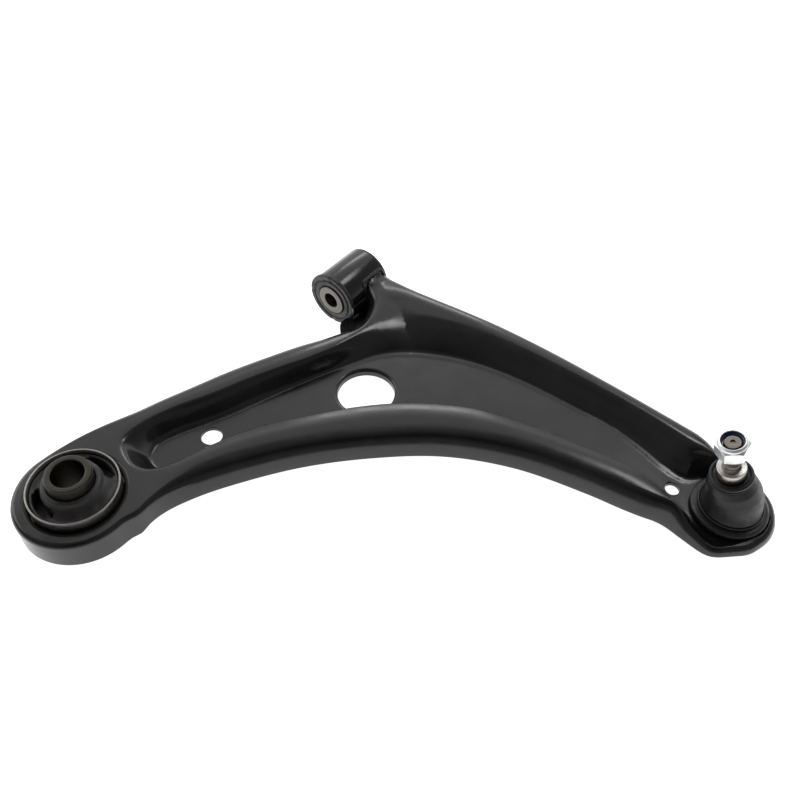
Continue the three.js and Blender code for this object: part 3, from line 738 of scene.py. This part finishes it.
def arm_shell():
    """The closed shell's points and faces, and its exact normals where they are known."""
    normals = left_normals(outline, 3)
    size = round_at(*outline.T)
    edge = edge_at(*outline.T)
    start_tilt = math.pi / 2 - np.arctan(crown_at(*outline.T))
    near = smooth(normals @ NEAR_SIDE, -0.3, 0.3) * (1 - eye_share(*outline.T))
    wall_tilt = np.maximum(WALL_TILT * near * (1 - tip_share(*outline.T)), 1e-3)
    rolled = size * (np.sin(start_tilt) - np.sin(wall_tilt))
    wall = crest_at(outline[:, 0]) - rolled - (edge + EDGE_RISE)
    wall_inset = wall / np.sin(wall_tilt) * (1 - np.cos(wall_tilt))
    top_inset = wall_inset + size * (np.cos(wall_tilt) - np.cos(start_tilt))
    top_loop = outline + normals * top_inset[:, None]
    loops = [top_loop]
    for centre, rim, _ in HOLES:
        count = max(28, round(TURN * rim / STEP))
        loops.append(arc(centre, rim, 360, 0, count + 1)[:-1])
    looped = np.vstack(loops)
    flat = np.vstack([looped, loose_points(top_loop, normals, looped)])
    tris = triangulated(flat, loops)

    z, slope = upper(flat)
    steep = np.minimum(2, np.sqrt(1 + (slope**2).sum(1)))
    under = np.c_[flat, z - SHEET * steep]
    under[: len(looped), 2] = z[: len(looped)] - SHEET
    under[: len(top_loop), :2] += normals * np.maximum(0, UNDER_INSET - top_inset)[:, None]
    up = np.c_[-slope, np.ones(len(flat))]
    up /= np.linalg.norm(up, axis=1)[:, None]
    points = [np.c_[flat, z], under]
    known = [up, np.full((len(flat), 3), np.nan)]
    faces = tris.tolist() + (tris[:, ::-1] + len(flat)).tolist()

    def add_row(base, inward, inset, height, tilt):
        n = len(inward)
        inset, height, tilt = (np.broadcast_to(value, n) for value in (inset, height, tilt))
        start = sum(map(len, points))
        points.append(np.c_[base + inward * inset[:, None], height])
        known.append(np.c_[-inward * np.cos(tilt)[:, None], np.sin(tilt)])
        return list(range(start, start + n))

    top = z[: len(outline)]
    section = edge_section(top, size, start_tilt, wall_tilt, wall_inset, edge)
    walls = [(outline, normals, section)]
    for loop, (centre, rim, section) in zip(loops[1:], HOLES):
        walls.append((centre, (loop - centre) / rim, section))
    begin = 0
    for base, inward, section in walls:
        n = len(inward)
        first = list(range(begin, begin + n))
        made = [first, *(add_row(base, inward, *row) for row in section)]
        made.append([i + len(flat) for i in first])
        for a, b in zip(made, made[1:]):
            faces += [(a[i], b[i], b[(i + 1) % n], a[(i + 1) % n]) for i in range(n)]
        begin += n
    return np.vstack(points), faces, np.vstack(known)


def cope(shell, points, known):
    """Cuts the sheet to fit round the bush tube, and keeps its exact normals."""
    radius, near, far = TUBE_RADIUS + 0.3, -56, 60
    profile = [(0, near), (radius, near), (radius, far), (0, far)]
    rod, rod_faces, _ = turned(profile, False, 128)
    cutter = piece("cutter", rod, rod_faces, paint, ALONG_Y)
    cut = shell.modifiers.new("cope", "BOOLEAN")
    cut.operation = "DIFFERENCE"
    cut.solver = "EXACT"
    cut.object = cutter
    settle(shell)
    bpy.data.objects.remove(cutter)
    mesh = shell.data
    shift = np.array((rear.x, rear.y, 0))
    book = {}
    for i in np.nonzero(~np.isnan(known[:, 0]))[0]:
        book[tuple(np.round(points[i] * MM + shift, 6))] = known[i]
    exact = [book.get(tuple(np.round(np.array(v.co), 6))) for v in mesh.vertices]
    normals = np.array([c.vector for c in mesh.corner_normals], float)
    for corner, loop in enumerate(mesh.loops):
        normal = exact[loop.vertex_index]
        if normal is not None and normal @ normals[corner] > 0.2:
            normals[corner] = normal
    mesh.normals_split_custom_set([tuple(n) for n in normals])


def sweep(name, path, radius_at, finish, place, sides=14):
    """A round rod along a path, with closed round ends."""
    path = np.array(path, float)
    points, faces = [], []
    along = np.gradient(path, axis=0)
    along /= np.linalg.norm(along, axis=1)[:, None]
    side = np.cross(along[0], (0.3, 0.5, 0.81))
    for i, (p, d) in enumerate(zip(path, along)):
        side = side - d * (side @ d)
        side /= np.linalg.norm(side)
        other = np.cross(d, side)
        for j in range(sides):
            angle = TURN * j / sides
            r = radius_at(i, angle)
            points.append(tuple(p + r * (math.cos(angle) * side + math.sin(angle) * other)))
    for i in range(len(path) - 1):
        for j in range(sides):
            k = (j + 1) % sides
            faces.append((i * sides + j, i * sides + k, (i + 1) * sides + k, (i + 1) * sides + j))
    faces.append(tuple(reversed(range(sides))))
    faces.append(tuple(range((len(path) - 1) * sides, len(path) * sides)))
    return piece(name, points, faces, finish, place, 60)


def build_gusset():
    """The plate in the corner beside the tube, and a strap that lies on the tube."""
    low, high = 10.6, 13.6
    edge = spaced(spline([
        (22.4, 232.5), (30, 226.6), (35.4, 227.2), (39, 236), (37.4, 250), (29.6, 261.4),
        (23, 264), (22.4, 257), (20.8, 249.4), (17, 247.8), (16.6, 240),
    ], True), 1.2)
    points, faces = prism([(x, y, low) for x, y in edge], [(x, y, high) for x, y in edge])
    plate = piece("gusset_plate", points, faces, paint, UPRIGHT)
    soften_edges(plate)
    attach(plate, "arm")
    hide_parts("bush_gusset")

    near, far, start, end = 247.4, 268, -44, 12
    under = arc((0, TUBE_HEIGHT), TUBE_RADIUS + 1.25, start, end, 40)
    over = arc((0, TUBE_HEIGHT), TUBE_RADIUS + 3, end, start, 40)
    loop = [*under, *over]
    points, faces = prism([(x, far, z) for x, z in loop], [(x, near, z) for x, z in loop])
    strap = piece("gusset_strap", points, faces, paint, UPRIGHT, 50)
    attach(strap, "arm")


def build_arm():
    points, faces, known = arm_shell()
    shell = piece("arm_shell", points, faces, paint, UPRIGHT, 50)
    cope(shell, points, known)
    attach(shell, "arm")
    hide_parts("arm_pressing")


# ---------- front bush ----------
BEAD_STEP = 0.3


def weld_path():
    """Across the crest where it meets the tube, and down both of its flanges."""
    near, far, crest = 267.2, 290.8, CREST + 2.9
    level = np.linspace(17, crest - 2, 12)
    across = np.linspace(near + 1.5, far - 1.5, 22)

    def on_tube(z):
        return np.sqrt((TUBE_RADIUS - 0.6) ** 2 - (z - TUBE_HEIGHT) ** 2)

    top = np.full(len(across), crest)
    path = np.vstack([
        np.c_[on_tube(level), np.full(12, near), level],
        np.c_[on_tube(top), across, top],
        np.c_[on_tube(level[::-1]), np.full(12, far), level[::-1]],
    ])
    steps = np.r_[0, np.cumsum(np.linalg.norm(np.diff(path, axis=0), axis=1))]
    at = np.arange(0, steps[-1], BEAD_STEP)
    path = np.c_[[np.interp(at, steps, path[:, k]) for k in range(3)]].T
    for _ in range(12):
        path[1:-1] = (path[:-2] + 2 * path[1:-1] + path[2:]) / 4
    return path


def build_front_bush():
    bore, end = 17.8, 20.3
    tube = turned_piece("bush_tube", [
        (bore, -end, 0.4), (TUBE_RADIUS, -end, 0.5), (TUBE_RADIUS, end, 0.7), (bore, end, 0.4),
    ], paint, ALONG_Y, sides=128)
    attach(tube, "arm")
    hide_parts("front_bush_tube")

    path = weld_path()

    def bead(i, angle):
        """Radius of the bead, rippled and thinner at its ends."""
        ends = min(1, min(i, len(path) - 1 - i) / 5)
        ripple = 0.12 * math.sin(TURN * i * BEAD_STEP / 1.7 + 0.8 * math.sin(angle))
        return (1.5 + ripple) * (0.35 + 0.65 * ends)

    weld = sweep("weld_bead", path, bead, paint, UPRIGHT)
    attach(weld, "arm")

    inner, lip, far_lip = 10.3, 22.2, 20.8
    rubber_profile = [
        (inner, -21, 0.2), (12.3, -21, 0.1), (12.5, -22.6, 0.3), (13.4, -23.4, 0.4),
        (16.6, -23.4, 0.4), (17.1, -22.5, 0.3), (17.9, -22.4, 0.3), (18.5, -23.4, 0.5),
        (21.4, -23.4, 0.4), (lip, -22.6, 0.3), (lip, -20.6, 0.3), (15.9, -20.6, 0.1),
        (15.9, 20.6, 0.1), (far_lip, 20.6, 0.2), (far_lip, 21.8, 0.6), (19, 22.4, 0.5),
        (13.4, 22.6, 0.4), (12.5, 22.2, 0.3), (12.3, 21, 0.1), (inner, 21, 0.2),
    ]

    def notched(r, z, angle):
        """Three shallow notches on each face, a quarter turn apart."""
        quarter = (angle * 2 + math.pi / 2) % math.pi - math.pi / 2
        blank = math.exp(-((((angle + math.pi) % TURN - math.pi) / 0.16) ** 4))
        if abs(z) > 21.6 and r > 17:
            depth = 0.7 * math.exp(-((quarter / 0.12) ** 4)) * (1 - blank)
            z -= math.copysign(depth, z)
        return r, z

    rubber_ring = turned_piece(
        "front_rubber", rubber_profile, rubber, ALONG_Y, sides=160, shape=notched,
    )
    soft_ring(rubber_ring)
    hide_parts("front_bush_rubber")

    body, mouth, bore, end, collar = 10, 12, 6.4, 24.3, 21.3
    half = [(bore, end, 0.6), (mouth, end, 0.7), (mouth, collar, 0.2), (body, collar, 0.6)]
    other_half = [(r, -z, fillet) for r, z, fillet in half]
    profile = other_half + half[::-1]
    sleeve = turned_piece("front_sleeve_steel", profile, face_steel, ALONG_Y)
    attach(sleeve, "front_sleeve")
    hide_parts("front_inner_sleeve")
    frame["nodes"]["front_outer_sleeve"].data.materials[0] = face_steel.material


# ---------- rear bush ----------
VOIDS = (91, 256)  # angles of the two voids' middles, in degrees
VOID_HALF = 33
MEMBRANE = (23.0, 26.0)  # lower and upper face of the skin that closes them


def from_void(degrees):
    return min(abs((degrees - v + 180) % 360 - 180) for v in VOIDS)


def build_rear_bush():
    outer, wall, low, high = 30, 2, 10, 39.3
    ring = turned_piece("rear_ring", [
        (outer - wall, low, 0.4), (outer, low, 0.5), (outer, high, 0.4), (outer - 1.1, high, 0.3),
        (outer - wall, high - 1.6, 0.5),
    ], ring_steel, UPRIGHT, sides=160)
    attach(ring, "arm")
    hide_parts("rear_outer_sleeve")

    sleeve = turned_piece("rear_sleeve_steel", [
        (10.6, 0, 0.9), (15.2, 0, 0.9), (15.2, 49.6, 0.3), (14.8, 50, 0.3),
        (14.8, 52.2, 0.8), (10.6, 52.2, 0.9),
    ], sleeve_steel, UPRIGHT, sides=128)
    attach(sleeve, "rear_sleeve")
    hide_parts("rear_inner_sleeve")

    radii = [15.5, 16.6, 18.0, 18.8, 19.2, 19.6, 20.1, 21.2, 22.4, 23.6, 24.8, 26.1, 26.7, 27.7]
    tops = [44.2, 44.3, 44.0, 43.2, 41.2, 40.4, 40.0, 38.9, 37.9, 37.1, 36.4, 35.9, 36.2, 36.8]
    lows = [5.1, 5.0, 5.3, 6.1, 8.0, 9.0, 9.6, 10.6, 11.4, 12.2, 12.9, 13.4, 13.3, 12.8]
    sides = 180
    lobe_first, lobe_last = 6, 11
    points, faces = [], []

    def on_circle(r, j, z):
        angle = TURN * j / sides
        return r * math.cos(angle), r * math.sin(angle), z

    for level, way in ((tops, -1), (lows, 1)):
        for i, r in enumerate(radii):
            for j in range(sides):
                dip = 0
                if lobe_first < i < lobe_last:
                    off = from_void(360 * j / sides)
                    dip = 1.2 * math.exp(-(((off - 90) / 14) ** 2))
                points.append(on_circle(r, j, level[i] + way * dip))
    under = len(radii) * sides

    def solid(i, j):
        if not lobe_first <= i < lobe_last:
            return 0 <= i < len(radii) - 1
        narrower = 5 if i in (lobe_first, lobe_last - 1) else 0
        return from_void(360 * (j % sides + 0.5) / sides) > VOID_HALF - narrower

    def corners_of(i, j):
        return (i, j), (i + 1, j), (i + 1, j + 1), (i, j + 1)

    def at(corner, low_side=False):
        return corner[0] * sides + corner[1] % sides + (under if low_side else 0)

    cells = [(i, j) for i in range(len(radii) - 1) for j in range(sides)]
    for i, j in cells:
        if not solid(i, j):
            continue
        a, b, c, d = corners_of(i, j)
        faces.append((at(a), at(b), at(c), at(d)))
        faces.append((at(d, True), at(c, True), at(b, True), at(a, True)))
        for beside, p, q in (
            ((i - 1, j), d, a), ((i + 1, j), b, c), ((i, j - 1), a, b), ((i, j + 1), c, d),
        ):
            if not solid(*beside):
                faces.append((at(p, True), at(q, True), at(q), at(p)))
    empty = [cell for cell in cells if not solid(*cell)]
    for level, way in zip(MEMBRANE, (-1, 1)):
        index = {}
        for cell in empty:
            keys = [(i, j % sides) for i, j in corners_of(*cell)]
            for key in keys:
                if key not in index:
                    index[key] = len(points)
                    points.append(on_circle(radii[key[0]], key[1], level))
            faces.append(tuple(index[key] for key in keys[::way]))
    body = piece("rear_rubber", points, faces, rubber, UPRIGHT, 40)
    mesh = bmesh.new()
    mesh.from_mesh(body.data)
    bmesh.ops.delete(mesh, geom=[v for v in mesh.verts if not v.link_faces], context="VERTS")
    mesh.to_mesh(body.data)
    mesh.free()
    soften_edges(body)
    body.data.shade_smooth()
    body.data.set_sharp_from_angle(angle=math.radians(48))
    soft_ring(body)
    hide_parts("rear_bush_rubber")


# ---------- ball joint, heights above the ball's centre ----------
def build_ball_joint():
    floor = -ball.z / MM
    housing = turned_piece("joint_housing", [
        (14.7, floor + 2.7, 0.3), (16.3, floor + 0.6, 0.4), (18.6, floor + 0.6, 0.3),
        (19.6, floor + 1.6, 0.5), (19.6, -4.7, 0.3), (24.4, -4.7, 0.4), (25.5, -3.2, 0.6),
        (25.5, -1.2, 0.9), (24, 0, 1.2), (17.6, 0, 0.8), (16.4, 1.6, 0.6), (16.4, 7, 0.8),
        (11.6, 7, 0.4), (11.3, 6.2, 0.3), (13.5, 5.9, 1), (14.6, 1.5, 2), (14.7, 0, 0.5),
    ], black_steel, AT_BALL, sides=128, steps=5)
    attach(housing, "arm")
    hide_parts("ball_joint_housing")

    cap = turned_piece("joint_cap", [
        (0, floor), (3.2, floor, 0.3), (3.9, floor + 0.7, 0.3), (8.6, floor + 0.7, 0.5),
        (9.6, floor, 0.5), (12.2, floor, 0.5), (14.4, floor + 1.2, 0.6), (14.4, floor + 2, 0.2),
        (0, floor + 2),
    ], black_steel, AT_BALL, closed=False)
    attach(cap, "arm")
    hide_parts("ball_joint_end_cap")

    clip = turned_piece("housing_clip", [
        (19.9, -11.4, 0.2), (22.1, -11.4, 0.5), (22.1, -9.8, 0.5), (19.9, -9.8, 0.2),
    ], black_steel, AT_BALL)
    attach(clip, "arm")
    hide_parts("housing_retaining_ring")

    for name, radius, height, thick, place, body, node in (
        ("boot_clamp_low", 20.1, 1.9, 1.2, AT_BALL, "ball_carrier", "boot_lower_ring"),
        ("boot_clamp_high", 12.6, 31.5, 1.0, ON_STUD, "swing", "boot_upper_ring"),
    ):
        section = arc((radius + thick / 2 + 0.3, height), thick / 2, 0, 360, 17)[:-1]
        points, faces, uvs = turned(list(section), True, 96)
        clamp = piece(name, points, faces, black_steel, place, 60, uvs)
        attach(clamp, body)
        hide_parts(node)
    frame["nodes"]["ball_seat"].data.materials[0] = acetal.material


def build_boot():
    base = 0.3
    grip, high = 9.4, 35.6
    corners = [
        (19.4, base, 0.4), (20.6, base, 0.5), (20.6, base + 0.7, 0.3), (20.1, base + 1.1, 0.3),
        (20.1, base + 2.2, 0.3), (20.3, base + 2.7, 0.4), (19.9, base + 4.2, 0.9), (19.4, 8, 2),
        (19, 12, 4), (17.9, 19, 4), (15.9, 25.5, 3), (13.5, 30, 1.2), (12.35, 31.0, 0.4),
        (12.35, 32.0, 0.4), (13.8, 33.0, 0.6), (13.9, 34.6, 0.8), (13.0, high, 0.8),
        (11.9, high, 0.5), (11.4, high - 1.4, 0.4), (10.2, high - 1.7, 0.3),
        (grip, high - 1.4, 0.3), (grip, 31.2, 0.4), (10.8, 29.4, 0.5), (13.4, 25, 1),
        (15.8, 18.6, 2), (17.0, 12, 1.5), (16.8, base + 5, 1), (17.9, base + 1.6, 0.4),
        (17.9, base, 0.2),
    ]
    points, faces, uvs = turned(rounded(corners, True, 5), True, 128)
    p = np.array(points)
    share = smooth(p[:, 2], base + 3, high - 5)[:, None]
    turn = np.array(lean.to_matrix())
    p = (1 - share) * p + share * (p @ turn.T)
    boot = piece("dust_boot", p.tolist(), faces, boot_rubber, AT_BALL, 40, uvs)
    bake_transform(boot)
    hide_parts("rubber_boot")


# ---------- stud and nut ----------
PITCH = 1.25


def build_stud():
    radius = 12.5
    low, high = 46.3, 67.1  # ends of the thread
    waist = math.degrees(math.acos(6 / radius))
    sphere = list(arc((0, 0), radius, -90, waist, 30))
    sphere[0] = (0, -radius)
    shank = rounded([
        (6, 12.5), (6, 15, 1), (7.4, 19, 2), (8.6, 26, 3), (9.2, 37, 1), (9.2, 42.4, 0.5),
        (5.6, 42.5, 0.5), (5.1, 44.4, 0.6), (5.1, 46.2),
    ], False)
    screw = [(5.5, z) for z in np.arange(low + 0.1, high - 0.1, PITCH / 8)]
    tip = rounded([
        (5.2, 67.2), (4.9, 67.6, 0.3), (1.7, 67.6, 0.2), (0.9, 66.7, 0.2), (0, 66.5),
    ], False)

    def thread(r, z, angle):
        if not low < z < high:
            return r, z
        phase = (z / PITCH - angle / TURN) % 1
        tooth = 1 - abs(2 * phase - 1)
        depth = min(1, (z - low) / 1.2, (high - z) / 1.2)
        return 5.0 + 0.55 * min(1, max(0, 1.35 * tooth - 0.12)) * depth, z

    points, faces, uvs = turned(sphere + shank + screw + tip, False, 64, thread)
    stud = piece("stud_shank", points, faces, shank_steel, ON_STUD, 50, uvs)
    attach(stud, "stud")
    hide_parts("ball_stud")


def build_nut():
    flats, low, top, seat, high = 9.5, 57.4, 66.8, 65.2, 69.4
    collar, bore = 9.2, 6.15
    chamfer = flats * 0.985
    sides = 240
    points, rings = [], []

    def ring(radius, height, share=0.0, slope=0.0):
        """A circle at share 0 and the hexagon at share 1; its corners follow the slope."""
        rings.append(len(points))
        for j in range(sides):
            angle = TURN * j / sides
            hexagon = flats / math.cos((angle + math.pi / 6) % (math.pi / 3) - math.pi / 6)
            r = radius + (hexagon - radius) * share
            z = height + (r - radius) * slope
            points.append((r * math.cos(angle), r * math.sin(angle), z))

    slope = math.tan(math.radians(30))
    ring(bore, low + 0.8)
    ring(bore + 0.7, low)
    ring(chamfer - 0.4, low)
    for share, rise in ((0, 0.06), (0.5, 0.06), (0.93, 0.06), (1, 0.2)):
        ring(chamfer, low + rise, share, slope)
    for share, rise in ((1, 0.2), (0.93, 0.06), (0.5, 0.06), (0, 0.02)):
        ring(chamfer, top - rise, share, -slope)
    for r, z in rounded([
        (chamfer, top), (collar, top + 0.05, 0.12), (collar - 0.05, high - 1.4, 0.9),
        (collar - 1.2, high - 0.1, 0.9), (collar - 1.9, high - 0.1, 0.35),
        (collar - 1.9, high - 0.9, 0.2), (collar - 1.1, high - 1.6, 0.2),
        (collar - 1.1, seat, 0.2), (bore, seat),
    ], False, 5)[1:]:
        ring(r, z)
    faces = []
    for a, b in zip(rings, rings[1:] + rings[:1]):
        for j in range(sides):
            k = (j + 1) % sides
            faces.append((a + j, a + k, b + k, b + j))
    hex_nut = piece("lock_nut", points, faces, zinc, ON_STUD, 24)
    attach(hex_nut, "nut")
    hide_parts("hex_nut")

    insert = turned_piece("nylon_ring", [
        (bore, seat + 0.3, 0.15), (7.8, seat + 0.3, 0.1), (7.8, high - 2, 0.3),
        (7.0, high - 1.5, 0.5), (bore, high - 2.1, 0.5),
    ], nylon, ON_STUD)
    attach(insert, "nut_thread")
    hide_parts("nylon_insert")


build_arm()
build_gusset()
build_front_bush()
build_rear_bush()
build_ball_joint()
build_boot()
build_stud()
build_nut()


# ---------- camera, floor and light ----------
forward = Vector((-0.40361, 0.52221, -0.75126))
down = Vector((0.47042, -0.58582, -0.65994))
right = down.cross(forward)
camera_data = bpy.data.cameras.new("camera")
camera_data.lens = 39.96
camera_data.sensor_width = 36
camera_data.clip_start = 0.01
camera = bpy.data.objects.new("camera", camera_data)
bpy.context.scene.collection.objects.link(camera)
turn = Matrix((right, -down, -forward)).transposed().to_4x4()
camera.matrix_world = UPRIGHT @ Matrix.Translation((0.3660, -0.1340, 0.5017)) @ turn
bpy.context.scene.camera = camera


def make_floor():
    floor_data = bpy.data.meshes.new("floor")
    reach = 6
    corners = [(x * reach, y * reach, 0) for x, y in ((-1, -1), (1, -1), (1, 1), (-1, 1))]
    floor_data.from_pydata(corners, [], [(0, 1, 2, 3)])
    floor_obj = bpy.data.objects.new("floor", floor_data)
    floor_obj.location.z = -0.0004
    bpy.context.scene.collection.objects.link(floor_obj)
    pale = Finish("pale_floor", "floor", (0.9, 0.9, 0.9), 0.7, specular=0.1)
    pale.tint((3, 3), (0.88, 0.88, 0.885), 0.4)
    wire(pale.tree, pale.shader, {"Emission Color": (1, 1, 1, 1), "Emission Strength": 1.0})
    floor_data.materials.append(pale.material)


def make_world():
    """A studio that is white low down and behind the object, and darker overhead."""
    world = bpy.data.worlds.new("studio")
    bpy.context.scene.world = world
    world.use_nodes = True
    tree = world.node_tree
    coords = add_node(tree, "TexCoord")
    dot = add_node(tree, "VectorMath", {
        0: coords.outputs["Generated"], 1: Vector((0.33, -0.43, 0.84)).normalized(),
    }, operation="DOT_PRODUCT")
    half = add_node(tree, "MapRange", {"From Min": -1, "Value": dot.outputs["Value"]})
    ramp = add_node(tree, "ValToRGB", {"Fac": half.outputs["Result"]})
    ramp.color_ramp.interpolation = "EASE"
    stops = (
        (0.0, 1.0), (0.45, 1.0), (0.56, 0.62), (0.637, 0.25), (0.75, 0.19), (0.88, 0.22),
        (0.95, 0.15), (1.0, 0.012),
    )
    elements = ramp.color_ramp.elements
    for place, _ in stops[1:-1]:
        elements.new(place)
    for element, (_, value) in zip(elements, stops):
        element.color = (value, value, value, 1)
    wire(tree, tree.nodes["Background"], {"Color": ramp.outputs["Color"], "Strength": 1.15})


def add_light(name, place, size, power):
    """A rectangular lamp that points at the origin."""
    data = bpy.data.lights.new(name, "AREA")
    data.shape = "RECTANGLE"
    data.size, data.size_y = size
    data.energy = power
    obj = bpy.data.objects.new(name, data)
    bpy.context.scene.collection.objects.link(obj)
    obj.location = place
    obj.rotation_mode = "QUATERNION"
    obj.rotation_quaternion = (-Vector(place)).to_track_quat("-Z", "Y")


make_floor()
make_world()
add_light("softbox_back", (-0.75, 1.0, 1.5), (1.9, 1.1), 5.2)
add_light("softbox_low", (-1.0, 1.3, 1.05), (0.7, 0.22), 2.4)
add_light("softbox_top", (0.06, 0.75, 1.2), (0.34, 0.24), 1.8)
add_light("softbox_left", (-1.6, -0.2, 0.9), (1.0, 1.2), 8)
bpy.context.scene.view_settings.view_transform = "Standard"
